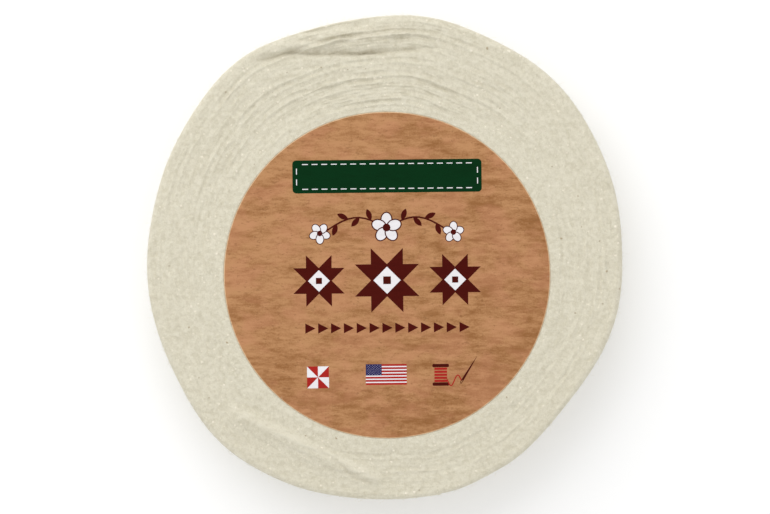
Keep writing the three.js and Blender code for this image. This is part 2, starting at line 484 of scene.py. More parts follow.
def back_row(share, sunk):
    """One row of the back's points: crowns rest on the ground and gaps reach up from it."""
    last = BACK_LAST_TURN if share == 0 else BACK_LAST_TURN - 1
    steps = (last - BACK_FIRST_TURN) * BACK_COLUMNS
    turn = BACK_FIRST_TURN + np.arange(steps + 1) / BACK_COLUMNS
    plan = on_circle(radius_across(turn, share), turn)
    raised = np.maximum(0, BACK_LEVEL - BACK_SLIP * layer_height(turn))
    if share == 0:
        raised = np.maximum(raised, BACK_LEVEL - BACK_SLIP * layer_height(turn - 1))
    # The back's gaps are darkened with painted shade too.
    gap = sunk * gap_openness(plan, BACK_BOLD)
    return np.column_stack([plan, raised + BACK_GAP * gap]), gap


print("rim:", len(rim_levels()), "levels, back:", BACK_LAST_TURN - BACK_FIRST_TURN, "turns")


# %% [markdown]
# ## Sewing the mesh together
# The rows of points are joined into one closed skin: the spiral face, a plain fan in its middle under the
# label, the rim with its step, and the spiral back. Three values are kept on every point for later: "gap"
# is how deep it lies between two layers, which also darkens it with painted shade, and the slits of the
# sunk lines add more painted shade to it; "open_face" is where loose fibres can show; and "layer_tone" is
# how pale that stretch of the strip is, with the tallest ridge's painted highlight and painted shade added.


# %% A skin that grows row by row
class Skin:
    """Points and faces of one closed mesh, gathered block by block."""

    def __init__(self):
        self.points = []
        self.values = {"gap": [], "open_face": [], "layer_tone": []}
        self.faces = []

    def add(self, points, gap=0.0, open_face=0.0, tone=0.0):
        """Adds points and the values kept on them, and returns their numbers."""
        first = len(self.points)
        self.points.extend(points.tolist())
        for kept, given in zip(self.values.values(), (gap, open_face, tone)):
            kept.extend(np.broadcast_to(given, len(points)).tolist())
        return list(range(first, first + len(points)))

    def join(self, inner, outer):
        """Quads between two rows, facing up where the second row lies further out."""
        for i in range(len(inner) - 1):
            self.faces.append((inner[i], outer[i], outer[i + 1], inner[i + 1]))

    def fan(self, centre, loop):
        """Triangles from a point to a closed loop."""
        for a, b in zip(loop, loop[1:] + loop[:1]):
            self.faces.append((centre, a, b))


# %% Sew the face, the rim and the back
def sew_face(skin):
    """The spiral face. Returns its outer edge, and the points across the strip's cut end."""
    rows = [skin.add(*face_row(**crossing)) for crossing in CROSSING]
    for inner, outer in zip(rows, rows[1:]):
        skin.join(inner[: len(outer)], outer)
    skin.join(rows[-1], rows[0][COLUMNS:])
    middle = skin.add(np.array([[0, 0, STRIP_WIDTH]]))[0]
    skin.fan(middle, rows[0][: COLUMNS + 1] + [row[0] for row in reversed(rows[1:])])
    return rows[0][-COLUMNS - 1 :], [row[-1] for row in rows[1:]]


def sew_rim(skin, edge, cut_end):
    """The rim, level by level. Returns its lowest row."""
    above = edge
    for inset, height in rim_levels():
        below = skin.add(rim_row(inset, height), open_face=smooth(height, FIBRES_FROM, FIBRES_FULL))
        skin.join(above, below)
        skin.faces.append((above[-1], below[-1], below[0], above[0], *cut_end))
        above = below
        cut_end = []
    return above


def sew_back(skin, foot):
    """The spiral back, and the seam to the rim's lowest row."""
    rows = [skin.add(*back_row(**crossing)) for crossing in BACK_CROSSING]
    for inner, outer in zip(rows, rows[1:]):
        skin.join(outer, inner[: len(outer)])
    skin.join(rows[0][BACK_COLUMNS:], rows[-1])
    middle = skin.add(np.array([[0, 0, EYE_DEPTH]]))[0]
    skin.fan(middle, [row[0] for row in rows[1:]] + rows[0][BACK_COLUMNS::-1])

    inner = rows[0][-BACK_COLUMNS - 1 :]
    ratio = COLUMNS // BACK_COLUMNS
    half = ratio // 2
    for i in range(BACK_COLUMNS):
        outer = foot[ratio * i : ratio * (i + 1) + 1]
        corners = [inner[i]] * half + [inner[i + 1]] * (ratio - half)
        fans = [[corner, b, a] for corner, a, b in zip(corners, outer, outer[1:])]
        if i == 0:
            fans[0] += [inner[-1]] + [row[-1] for row in reversed(rows[1:])]
        if i == BACK_COLUMNS - 1:
            fans[-1] = [inner[-1], foot[0], outer[-1], outer[-2]]
        skin.faces.extend(fans)
        skin.faces.append((inner[i], inner[i + 1], outer[half]))


skin = Skin()
edge, cut_end = sew_face(skin)
foot = sew_rim(skin, edge, cut_end)
sew_back(skin, foot)
print("sewn from", len(skin.points), "points")


# %% Make the skin a mesh
SOFT_EDGE = 60


def new_object(name, data):
    """Puts an object in the scene, at the origin. A mesh is made in its place, so it stays there."""
    made = bpy.data.objects.new(name, data)
    bpy.context.scene.collection.objects.link(made)
    return made


roll_mesh = bpy.data.meshes.new("wound_strip")
skin_points = (np.array(skin.points) + [*round_middle, 0]) * MM
roll_mesh.from_pydata(skin_points.tolist(), [], skin.faces)
roll_mesh.validate()
roll_mesh.shade_smooth()
roll_mesh.set_sharp_from_angle(angle=math.radians(SOFT_EDGE))
for name, values in skin.values.items():
    roll_mesh.attributes.new(name, "FLOAT", "POINT").data.foreach_set("value", values)
roll = new_object("wound_strip", roll_mesh)
roll_mesh.calc_loop_triangles()
print("wound strip:", len(roll_mesh.loop_triangles), "triangles")

# %% [markdown]
# ## Materials: what they share
# Two effects are used more than once, so each is a node group with named inputs. One is tangled cotton
# fibre, for the roll and everything that comes off it. The other is the long pale and dark fibre of
# kraft paper, for the bare card and for every ink on it.


# %% A short way to write nodes
def socket_of(sockets, key):
    """A node's socket by its place, or by its name among those that are in use."""
    if isinstance(key, int):
        return sockets[key]
    return next(s for s in sockets if s.name == key and s.enabled)


def place(tree, kind, inputs=None, **settings):
    """Adds a node, sets it up, and fills its inputs with values or with other sockets."""
    node = tree.nodes.new(kind)
    for name, value in settings.items():
        setattr(node, name, value)
    for key, value in (inputs or {}).items():
        socket = socket_of(node.inputs, key)
        if isinstance(value, bpy.types.NodeSocket):
            tree.links.new(value, socket)
        else:
            socket.default_value = value
    return node


def out(node, key=0):
    """One of a node's outputs."""
    return socket_of(node.outputs, key)


def calculate(tree, operation, a, b=0.0, c=0.0, clamp=False):
    """One sum on numbers or sockets."""
    return out(place(tree, "ShaderNodeMath", {0: a, 1: b, 2: c}, operation=operation, use_clamp=clamp))


def remap(tree, value, low, high, to_low=0.0, to_high=1.0):
    """Softly maps one range of a value on to another."""
    inputs = {"Value": value, "From Min": low, "From Max": high, "To Min": to_low, "To Max": to_high}
    return out(place(tree, "ShaderNodeMapRange", inputs, interpolation_type="SMOOTHSTEP"))


def blend(tree, share, a, b):
    """Mixes two colours."""
    inputs = {"Factor": share, "A": a, "B": b}
    return out(place(tree, "ShaderNodeMix", inputs, data_type="RGBA"), "Result")


def weighted(tree, parts, weights):
    """Adds up the parts that have a weight."""
    total = 0.0
    for name, weight in weights.items():
        total = calculate(tree, "MULTIPLY_ADD", parts[name], weight, total)
    return total


# %% Colours, groups and materials
def colour(red, green, blue):
    """A colour from 0 to 255, as it looks, made into the linear values that Blender mixes."""
    values = [c / 255 for c in (red, green, blue)]
    return (*(c / 12.92 if c <= 0.04045 else ((c + 0.055) / 1.055) ** 2.4 for c in values), 1.0)


def new_group(name, inputs, outputs):
    """An empty shader node group with number or vector sockets."""
    group = bpy.data.node_groups.new(name, "ShaderNodeTree")
    kinds = {"number": "NodeSocketFloat", "vector": "NodeSocketVector"}
    for label, kind in inputs.items():
        group.interface.new_socket(label, in_out="INPUT", socket_type=kinds[kind])
    for label, kind in outputs.items():
        group.interface.new_socket(label, in_out="OUTPUT", socket_type=kinds[kind])
    return group, group.nodes.new("NodeGroupInput"), group.nodes.new("NodeGroupOutput")


def put_out(group, result, values):
    """Gives a group its outputs."""
    for name, value in values.items():
        group.links.new(value, socket_of(result.inputs, name))


def new_material(name, settings):
    """A material with these plain values, and its tree, its shader and where it is on the object."""
    material = bpy.data.materials.new(name)
    material.use_nodes = True
    tree = material.node_tree
    shader = tree.nodes["Principled BSDF"]
    for key, value in settings.items():
        shader.inputs[key].default_value = value
    return material, tree, shader, out(place(tree, "ShaderNodeTexCoord"), "Object")


def add_relief(tree, shader, height, strength, distance):
    """Raises a surface by a height that changes over it."""
    inputs = {"Strength": strength, "Distance": distance, "Height": height}
    tree.links.new(out(place(tree, "ShaderNodeBump", inputs)), shader.inputs["Normal"])


def noise(tree, vector, scale, detail=3.0, roughness=0.55, distortion=0.0):
    """Blender's noise, as a number."""
    inputs = {"Vector": vector, "Scale": scale, "Detail": detail, "Roughness": roughness}
    return out(place(tree, "ShaderNodeTexNoise", {**inputs, "Distortion": distortion}), "Fac")


# %% Tangled cotton fibre, with its grains counted along a metre
FELT_GRAINS = {"clouds": 42.0, "tangle": 620.0, "fine": 1500.0, "seed": 105.0}
STRAND_WIDTH = 0.09
FELT_HEIGHT = {"tangled": 0.12, "pills": 0.9, "fine": 0.06}
FELT_TONE = {"clouds": 0.1, "pills": 0.62, "tangled": 0.16, "sparkle": 0.22}
SEED_PICKED = (0.45, 0.5)
SEED_EDGE = (0.02, 0.05)


def felt_group():
    """Height and tone of needled cotton: soft pills, a fine tangle, and specks of seed."""
    group, given, result = new_group(
        "felted_cotton",
        {"Place": "vector", "Pill Size": "number", "Tangle": "number"},
        {"Tone": "number", "Height": "number", "Speck": "number"},
    )
    place_in = out(given, "Place")
    coarse = calculate(group, "DIVIDE", 1.0, out(given, "Pill Size"))
    fine = noise(group, place_in, FELT_GRAINS["fine"], detail=2.0)
    tangle = noise(group, place_in, FELT_GRAINS["tangle"], detail=4.0, roughness=0.6, distortion=1.6)
    strands = calculate(group, "ABSOLUTE", calculate(group, "SUBTRACT", tangle, 0.5))
    strands = remap(group, strands, 0.0, STRAND_WIDTH, 1.0, 0.0)
    parts = {
        "pills": noise(group, place_in, coarse, detail=4.0, roughness=0.6),
        "clouds": noise(group, place_in, FELT_GRAINS["clouds"], detail=2.0),
        "tangled": calculate(group, "MULTIPLY", strands, out(given, "Tangle")),
        "fine": fine,
        "sparkle": calculate(group, "SUBTRACT", fine, 0.5),
    }
    seed_grains = {"Vector": place_in, "Scale": FELT_GRAINS["seed"]}
    cells = place(group, "ShaderNodeTexVoronoi", seed_grains, feature="F1")
    chance = out(place(group, "ShaderNodeSeparateColor", {0: out(cells, "Color")}))
    spot = remap(group, out(cells, "Distance"), *SEED_EDGE, 1.0, 0.0)
    speck = calculate(group, "MULTIPLY", spot, remap(group, chance, *SEED_PICKED))
    tone = weighted(group, parts, FELT_TONE)
    height = weighted(group, parts, FELT_HEIGHT)
    put_out(group, result, {"Tone": tone, "Height": height, "Speck": speck})
    return group


felt = felt_group()
print("group", felt.name, "has", len(felt.nodes), "nodes")

# %% [markdown]
# ## Batting
# Unbleached cotton is a creamy white with a trace of green in it, and quite matt. Four things give it its
# look: tone that mottles over a millimetre or two, stretches of the strip that are a little paler or darker
# than the next turn, a fine tangle of fibre in the bump, and painted shade in the gaps between the layers
# and in the slits of the sunk lines. The tallest ridge also carries a painted highlight and painted shade
# in its tone. The noise goes by the place on the object, and the skin's points hold each layer's tone and
# the depth of each gap, so the skin is never unfolded.

# %% The batting's finish
COTTON_LIGHT = colour(227, 221, 201)
COTTON_DARK = colour(208, 201, 178)
# Painted shade for the gaps between layers and the slits of the sunk lines.
GAP_SHADE = colour(182, 172, 147)
SEED_SPECK = colour(140, 120, 92)
TONE_RANGE = (0.26, 0.56)
COTTON_SHARES = {"layer": 0.035, "gap": 0.5, "speck": 0.6}
COTTON_CLOTH = {
    "Roughness": 0.95,
    "Specular IOR Level": 0.1,
    "Sheen Weight": 0.25,
    "Sheen Roughness": 0.6,
}


def cotton(name, pill_size, tangle, bump_height, light=COTTON_LIGHT, dark=COTTON_DARK):
    """Needled cotton. Pills are in metres, and the bump's height too."""
    material, tree, shader, where = new_material(name, COTTON_CLOTH)
    fibre = place(tree, "ShaderNodeGroup", node_tree=felt)
    tree.links.new(where, fibre.inputs["Place"])
    fibre.inputs["Pill Size"].default_value = pill_size
    fibre.inputs["Tangle"].default_value = tangle
    # The layer_tone attribute also carries the tallest ridge's painted highlight and painted shade.
    layer = out(place(tree, "ShaderNodeAttribute", attribute_name="layer_tone"), "Fac")
    tone = calculate(tree, "MULTIPLY_ADD", layer, COTTON_SHARES["layer"], out(fibre, "Tone"))
    base = blend(tree, remap(tree, tone, *TONE_RANGE), dark, light)
    # Painted shade: points in the gaps and slits are mixed towards GAP_SHADE.
    gap = out(place(tree, "ShaderNodeAttribute", attribute_name="gap"), "Fac")
    shade = calculate(tree, "MULTIPLY", gap, COTTON_SHARES["gap"], clamp=True)
    base = blend(tree, shade, base, GAP_SHADE)
    speck = calculate(tree, "MULTIPLY", out(fibre, "Speck"), COTTON_SHARES["speck"])
    tree.links.new(blend(tree, speck, base, SEED_SPECK), shader.inputs["Base Color"])
    add_relief(tree, shader, out(fibre, "Height"), strength=1.0, distance=bump_height)
    return material


batting_finish = cotton("cotton_batting", pill_size=0.0034, tangle=1.0, bump_height=0.0009)
roll_mesh.materials.append(batting_finish)
print("finish", batting_finish.name, "has", len(batting_finish.node_tree.nodes), "nodes")

# %% [markdown]
# ## Fibres, knots and seed
# Cut batting sheds: thin fibres curl off it, tiny knots of cotton called neps sit in it, and unbleached
# cotton keeps brown crumbs of its seed coat. There are thousands, so Geometry Nodes scatters them over
# the open parts of the roll, with the sizes as inputs, in metres, and a fixed seed. A particle system
# could do it too, but its hair isn't a mesh. Each result is turned into a plain mesh at the end.


# %% Helpers for the scattering trees
def scatter_tree(name, inputs):
    """A Geometry Nodes tree that scatters points over the open parts of a surface."""
    tree = bpy.data.node_groups.new(name, "GeometryNodeTree")
    tree.interface.new_socket("Surface", in_out="INPUT", socket_type="NodeSocketGeometry")
    tree.interface.new_socket("Result", in_out="OUTPUT", socket_type="NodeSocketGeometry")
    for label, (kind, _) in inputs.items():
        tree.interface.new_socket(label, in_out="INPUT", socket_type="NodeSocket" + kind)
    given = tree.nodes.new("NodeGroupInput")
    open_face = place(tree, "GeometryNodeInputNamedAttribute", {"Name": "open_face"}, data_type="FLOAT")
    density = calculate(tree, "MULTIPLY", out(open_face), out(given, "Number Each Square Metre"))
    surface = {"Mesh": out(given, "Surface"), "Density": density, "Seed": out(given, "Seed")}
    points = place(tree, "GeometryNodeDistributePointsOnFaces", surface)
    return tree, given, points


def random_number(tree, low, high, seed):
    """A different number for each point."""
    inputs = {"Min": low, "Max": high, "Seed": seed}
    return out(place(tree, "FunctionNodeRandomValue", inputs, data_type="FLOAT"), "Value")


def turned(tree, rotation, x=0.0, y=0.0, z=0.0):
    """A rotation turned further about its own axes."""
    angles = place(tree, "ShaderNodeCombineXYZ", {"X": x, "Y": y, "Z": z})
    turn = place(tree, "FunctionNodeEulerToRotation", {"Euler": out(angles)})
    inputs = {"Rotation": rotation, "Rotate By": out(turn)}
    return out(place(tree, "FunctionNodeRotateRotation", inputs, rotation_space="LOCAL"))


def end_tree(tree, given, shape):
    """Every tree ends the same way: real geometry, smooth, with its material."""
    real = place(tree, "GeometryNodeRealizeInstances", {"Geometry": shape})
    smoothed = place(tree, "GeometryNodeSetShadeSmooth", {"Geometry": out(real)})
    inputs = {"Geometry": out(smoothed), "Material": out(given, "Material")}
    finished = place(tree, "GeometryNodeSetMaterial", inputs)
    tree.links.new(out(finished), tree.nodes.new("NodeGroupOutput").inputs[0])


def scatter(name, tree, inputs, surface):
    """Runs a tree on a surface and returns what it made as a plain mesh object."""
    carrier = new_object(name + "_carrier", surface)
    modifier = carrier.modifiers.new(name, "NODES")
    modifier.node_group = tree
    for item in tree.interface.items_tree:
        if item.name in inputs:
            modifier[item.identifier] = inputs[item.name][1]
    evaluated = carrier.evaluated_get(bpy.context.evaluated_depsgraph_get())
    data = bpy.data.meshes.new_from_object(evaluated)
    data.name = name
    while data.materials[0] is None:
        data.materials.pop(index=0)
    carrier.modifiers.remove(modifier)
    bpy.data.objects.remove(carrier)
    data.calc_loop_triangles()
    print(name, "has", len(data.loop_triangles), "triangles")
    return new_object(name, data)


# %% Loose fibres
FIBRES = {
    "Number Each Square Metre": ("Float", 30000.0),
    "Shortest": ("Float", 0.0025),
    "Longest": ("Float", 0.009),
    "Thickness": ("Float", 0.00009),
    "Lift": ("Float", 0.35),
    "Curl": ("Float", 0.0042),
    "Seed": ("Int", SEED),
    "Material": ("Material", cotton("loose_fibre", pill_size=0.004, tangle=0.3, bump_height=0.0001)),
}
LEAN_BACK = 0.05
CURLS_EACH_METRE = 210.0
FIBRE_POINTS = 8
FIBRE_SIDES = 3


def fibre_tree(inputs):
    """Each fibre is a thin tube along a short line that noise has curled, rooted in the surface."""
    tree, given, points = scatter_tree("fibres", inputs)
    lift = calculate(tree, "MULTIPLY", out(given, "Lift"), -1.0)
    lift = random_number(tree, lift, LEAN_BACK, seed=11)
    spin = random_number(tree, 0.0, 2 * math.pi, seed=12)
    aim = turned(tree, turned(tree, out(points, "Rotation"), z=spin), y=lift)
    length = random_number(tree, out(given, "Shortest"), out(given, "Longest"), seed=13)
    line = place(tree, "GeometryNodeCurvePrimitiveLine", {"Start": (0, 0, 0), "End": (1, 0, 0)})
    inputs = {"Points": out(points), "Instance": out(line), "Rotation": aim, "Scale": length}
    lines = place(tree, "GeometryNodeInstanceOnPoints", inputs)
    real = place(tree, "GeometryNodeRealizeInstances", {"Geometry": out(lines)})
    fine = place(tree, "GeometryNodeResampleCurve", {"Curve": out(real), "Count": FIBRE_POINTS})
    warp = place(tree, "ShaderNodeTexNoise", {"Scale": CURLS_EACH_METRE, "Detail": 1.0})
    evened = {0: out(warp, "Color"), 1: (0.5, 0.5, 0.5)}
    warp = place(tree, "ShaderNodeVectorMath", evened, operation="SUBTRACT")
    reach = out(place(tree, "GeometryNodeSplineParameter"), "Factor")
    reach = calculate(tree, "MULTIPLY", reach, out(given, "Curl"))
    shift = place(tree, "ShaderNodeVectorMath", {0: out(warp), "Scale": reach}, operation="SCALE")
    curled = place(tree, "GeometryNodeSetPosition", {"Geometry": out(fine), "Offset": out(shift)})
    half = calculate(tree, "MULTIPLY", out(given, "Thickness"), 0.5)
    ring = place(tree, "GeometryNodeCurvePrimitiveCircle", {"Resolution": FIBRE_SIDES, "Radius": half})
    tube = {"Curve": out(curled), "Profile Curve": out(ring), "Fill Caps": True}
    end_tree(tree, given, out(place(tree, "GeometryNodeCurveToMesh", tube)))
    return tree


fibres = scatter("loose_fibres", fibre_tree(FIBRES), FIBRES, roll_mesh)

# %% [markdown]
# Neps and seed crumbs are the same kind of thing at two sizes: a small flattened lump, turned at random
# and half sunk into the cotton. One tree makes both, with other inputs. A few larger crumbs catch the
# eye, so they lie at chosen places, given in millimetres from the middle of the round, and a ray cast
# straight down finds the cotton under each.

# %% Neps and seed
NEP_TONES = {"light": colour(240, 233, 216), "dark": colour(224, 216, 196)}
NEPS = {
    "Number Each Square Metre": ("Float", 9000.0),
    "Smallest": ("Float", 0.00035),
    "Largest": ("Float", 0.0011),
    "Flatness": ("Float", 0.3),
    "Seed": ("Int", SEED + 1),
    "Material": ("Material", cotton("nep", pill_size=0.002, tangle=0.8, bump_height=0.0003, **NEP_TONES)),
}
CRUMB_DARK = colour(154, 138, 111)
CRUMB_LIGHT = colour(194, 181, 154)
CRUMB_GRAINS = 900.0


def seed_coat():
    """Brown crumbs of seed coat, a little glossier than cotton."""
    material, tree, shader, where = new_material("seed_coat", {"Roughness": 0.6})
    base = blend(tree, noise(tree, where, CRUMB_GRAINS), CRUMB_DARK, CRUMB_LIGHT)
    tree.links.new(base, shader.inputs["Base Color"])
    return material


SEEDS = {
    "Number Each Square Metre": ("Float", 170.0),
    "Smallest": ("Float", 0.0003),
    "Largest": ("Float", 0.0009),
    "Flatness": ("Float", 0.45),
    "Seed": ("Int", SEED + 2),
    "Material": ("Material", seed_coat()),
}
NARROWEST = 0.45


def lump_tree(name, inputs):
    """Flattened lumps, half sunk into the surface."""
    tree, given, points = scatter_tree(name, inputs)
    spin = random_number(tree, 0.0, 2 * math.pi, seed=21)
    aim = turned(tree, out(points, "Rotation"), z=spin)
    size = random_number(tree, out(given, "Smallest"), out(given, "Largest"), seed=22)
    narrow = calculate(tree, "MULTIPLY", size, random_number(tree, NARROWEST, 1.0, seed=23))
    flat = calculate(tree, "MULTIPLY", size, out(given, "Flatness"))
    scale = place(tree, "ShaderNodeCombineXYZ", {"X": size, "Y": narrow, "Z": flat})
    ball = place(tree, "GeometryNodeMeshIcoSphere", {"Radius": 1.0, "Subdivisions": 2})
    inputs = {"Points": out(points), "Rotation": aim, "Scale": out(scale), "Instance": out(ball, "Mesh")}
    lumps = place(tree, "GeometryNodeInstanceOnPoints", inputs)
    end_tree(tree, given, out(lumps))
    return tree


neps = scatter("cotton_neps", lump_tree("neps", NEPS), NEPS, roll_mesh)
seeds = scatter("seed_crumbs", lump_tree("seeds", SEEDS), SEEDS, roll_mesh)

# %% The larger crumbs
SEED_SPOTS = [
    {"at": (136, 15), "across": 2.4},
    {"at": (171.5, -10.5), "across": 2.2},
    {"at": (181.5, -24), "across": 1.8},
    {"at": (147, -43), "across": 1.7},
    {"at": (166, 13), "across": 1.5},
    {"at": (152, 24), "across": 1.2},
    {"at": (129, 71), "across": 1.3},
    {"at": (88.5, 116.5), "across": 1.3},
    {"at": (78.5, 163), "across": 2.6},
    {"at": (-124, -66), "across": 2.2},
    {"at": (-146, -93.5), "across": 1.3},
    {"at": (-138, -109), "across": 1.4},
    {"at": (-39, -140.5), "across": 2.1},
    {"at": (-63, -138.5), "across": 1.4},
    {"at": (25.5, -181), "across": 1.2},
]
SEED_SHAPE = (0.5, 0.34, 0.16)


def add_spots(mesh, surface):
    """Adds a flattened crumb at each spot, half sunk into the surface that is straight below it."""
    shape = bmesh.new()
    shape.from_mesh(mesh)
    ground = BVHTree.FromObject(surface, bpy.context.evaluated_depsgraph_get())
    for number, spot in enumerate(SEED_SPOTS):
        above = Vector((*(round_middle + spot["at"]) * MM, 1.0))
        hit = ground.ray_cast(above, Vector((0, 0, -1)))[0]
        size = Matrix.Diagonal([spot["across"] * MM * side for side in SEED_SHAPE]).to_4x4()
        where = Matrix.Translation(hit) @ Matrix.Rotation(number, 4, "Z") @ size
        bmesh.ops.create_icosphere(shape, subdivisions=2, radius=1.0, matrix=where)
    shape.to_mesh(mesh)
    shape.free()
    mesh.shade_smooth()


add_spots(seeds.data, roll)
print(len(SEED_SPOTS), "larger crumbs")

# %% [markdown]
# ## The label
# The label is a disc of brown kraft card, printed in a few flat inks. A picture could carry the print,
# but flat inks are better as shapes: each motif is a polygon, and one triangulation of the disc follows
# all their edges, so every ink is a real area of the card with its own material. The design is plain
# patchwork: a dark green band with a running stitch, two sprigs with blossoms, a row of eight-pointed
# stars, a row of triangles, a pinwheel block, a flag, and a spool with its thread and needle.

# %% Shapes to print, in millimetres from the middle of the label
CARD_TURN = math.radians(0.6)
CIRCLE_SIDES = 120
prints = []


def print_shape(ink, points, centre=(0.0, 0.0), turn=0.0, size=1.0):
    """Adds one flat shape in one ink. Later shapes cover earlier ones."""
    cosine, sine = math.cos(turn), math.sin(turn)
    placed = [
        (centre[0] + size * (x * cosine - y * sine), centre[1] + size * (x * sine + y * cosine))
        for x, y in points
    ]
    prints.append((ink, placed))


def bar(low_x, low_y, high_x, high_y):
    """A rectangle."""
    return [(low_x, low_y), (high_x, low_y), (high_x, high_y), (low_x, high_y)]


def centred_bar(width, height):
    """A rectangle about its middle."""
    return bar(-width / 2, -height / 2, width / 2, height / 2)


def rounded_bar(width, height, corner, steps=6):
    """A rectangle with round corners, about its middle."""
    points = []
    for quarter, (side_x, side_y) in enumerate(((1, 1), (-1, 1), (-1, -1), (1, -1))):
        for step in range(steps + 1):
            angle = math.radians(90 * (quarter + step / steps))
            x = side_x * (width / 2 - corner) + corner * math.cos(angle)
            y = side_y * (height / 2 - corner) + corner * math.sin(angle)
            points.append((x, y))
    return points


def oval(width, height, sides=16):
    """An ellipse about its middle."""
    angles = [2 * math.pi * i / sides for i in range(sides)]
    return [(width / 2 * math.cos(a), height / 2 * math.sin(a)) for a in angles]


def leaf(length, width, steps=8, fullness=0.8):
    """A pointed leaf that starts at the origin and runs along x. Fuller ones are blunter."""
    shares = [i / steps for i in range(1, steps)]
    upper = [(length * s, width / 2 * math.sin(math.pi * s) ** fullness) for s in shares]
    return [(0.0, 0.0), *[(x, -y) for x, y in upper], (length, 0.0), *reversed(upper)]


def stroke(line, width):
    """A line with a thickness."""
    line = np.array(line, float)
    along = np.gradient(line, axis=0)
    sideways = np.column_stack([-along[:, 1], along[:, 0]]) / np.linalg.norm(along, axis=1)[:, None]
    left = line + sideways * width / 2
    right = line - sideways * width / 2
    return [tuple(p) for p in [*right, *left[::-1]]]


# %% The band and its running stitch
BAND = {"width": 147.2, "height": 25.7, "corner": 3.0, "centre": (0.8, 77.0)}
STITCH = {"inset": 3.2, "length": 4.6, "gap": 2.9, "width": 0.7, "end_rows": 4.2}

print_shape("green", rounded_bar(BAND["width"], BAND["height"], BAND["corner"]), BAND["centre"])
stitch_step = STITCH["length"] + STITCH["gap"]
reach_x = BAND["width"] / 2 - STITCH["inset"]
reach_y = BAND["height"] / 2 - STITCH["inset"]
count = int(2 * reach_x // stitch_step)
for side in (-1, 1):
    for i in range(count):
        x = BAND["centre"][0] + stitch_step * (i - (count - 1) / 2)
        dash = centred_bar(STITCH["length"], STITCH["width"])
        print_shape("white", dash, (x, BAND["centre"][1] + side * reach_y))
    for y in (-STITCH["end_rows"], STITCH["end_rows"]):
        dash = centred_bar(STITCH["width"], STITCH["length"])
        print_shape("white", dash, (BAND["centre"][0] + side * reach_x, BAND["centre"][1] + y))
print("a band with", len(prints) - 1, "stitches")

# %% Blossoms on two sprigs
GARLAND = {"height": 36, "reach": 52, "rise": 9, "line": 1.3, "from": 0.06, "sweep": 1.15, "points": 12}
PETALS = 5
PETAL = {"from_middle": 0.52, "edge": (1.02, 0.8), "white": (0.86, 0.64), "middle": 0.52}
BLOSSOMS = {"small": 8.5, "large": 12, "turn": 0.3, "up": 1}
LEAF = {"length": 9.5, "width": 4.2}
LEAVES = [
    {"at": 2, "lean": 0.9},
    {"at": 4, "lean": -0.8},
    {"at": 6, "lean": 0.8},
    {"at": 8, "lean": -0.7},
    {"at": 10, "lean": 0.7},
]


def blossom(centre, size, turn=0.0):
    """White petals with a maroon edge and middle."""
    for petal in range(PETALS):
        angle = turn + 2 * math.pi * petal / PETALS
        out_by = size * PETAL["from_middle"]
        spot = (centre[0] + out_by * math.cos(angle), centre[1] + out_by * math.sin(angle))
        print_shape("maroon", oval(*PETAL["edge"]), spot, angle, size)
        print_shape("white", oval(*PETAL["white"]), spot, angle, size)
    print_shape("maroon", oval(PETAL["middle"], PETAL["middle"], sides=12), centre, size=size)


for side in (-1, 1):
    arch = np.linspace(GARLAND["from"], 1, GARLAND["points"])
    stem_x = side * GARLAND["reach"] * arch
    stem_y = GARLAND["height"] + GARLAND["rise"] * np.sin(math.pi * arch * GARLAND["sweep"])
    print_shape("maroon", stroke(np.column_stack([stem_x, stem_y]), GARLAND["line"]))
    for row in LEAVES:
        x, y = stem_x[row["at"]], stem_y[row["at"]]
        next_x, next_y = stem_x[row["at"] + 1], stem_y[row["at"] + 1]
        heading = math.atan2(next_y - y, side * (next_x - x)) + row["lean"]
        print_shape("maroon", leaf(**LEAF), (x, y), heading if side > 0 else math.pi - heading)
    blossom((stem_x[-1], stem_y[-1] + BLOSSOMS["up"]), BLOSSOMS["small"], BLOSSOMS["turn"] * side)
blossom((0.0, GARLAND["height"] + BLOSSOMS["up"]), BLOSSOMS["large"], math.pi / 2)
print(2 * len(LEAVES), "leaves and 3 blossoms")

# %% A row of patchwork stars, and a row of triangles under it
STARS = [{"x": -53, "size": 40}, {"x": 0, "size": 50}, {"x": 53, "size": 40}]
STAR_HEIGHT = -4
STAR_MIDDLE = {"white": 0.3, "maroon": 0.12}
GEESE = {"height": -41, "count": 13, "step": 10.0, "size": 8.0}


def star_outline():
    """The outline of an eight-pointed patchwork star, one unit across."""
    quarter = [(1, 1), (1, 2), (0, 1), (-1, 2)]
    points = []
    for _ in range(4):
        points += [(x / 4, y / 4) for x, y in quarter]
        quarter = [(-y, x) for x, y in quarter]
    return points


for star in STARS:
    spot = (star["x"], STAR_HEIGHT)
    print_shape("maroon", star_outline(), spot, size=star["size"])
    print_shape("white", centred_bar(1, 1), spot, math.pi / 4, star["size"] * STAR_MIDDLE["white"])
    print_shape("maroon", centred_bar(1, 1), spot, 0.0, star["size"] * STAR_MIDDLE["maroon"])
for i in range(GEESE["count"]):
    spot = (GEESE["step"] * (i - (GEESE["count"] - 1) / 2), GEESE["height"])
    print_shape("maroon", [(-0.5, -0.5), (0.5, 0.0), (-0.5, 0.5)], spot, size=GEESE["size"])
print(len(STARS), "stars over", GEESE["count"], "triangles")

# %% The flag
FLAG = {"width": 31.8, "height": 16.1, "centre": (-1.4, -77.3), "canton_width": 12.4}
RED_STRIPES, WHITE_STRIPES = 7, 6
RED_TO_WHITE = 1.6
CANTON_STRIPES = {"red": 4, "white": 3}
STAR_ROWS, LONG_ROW = 9, 6
STAR_POINTS = (0.24, 0.11)


def small_star():
    """A five-pointed star, point up. Its points and hollows lie STAR_POINTS from its middle."""
    points = []
    for i in range(10):
        turn = math.pi / 2 + math.pi * i / 5
        points.append((STAR_POINTS[i % 2] * math.cos(turn), STAR_POINTS[i % 2] * math.sin(turn)))
    return points


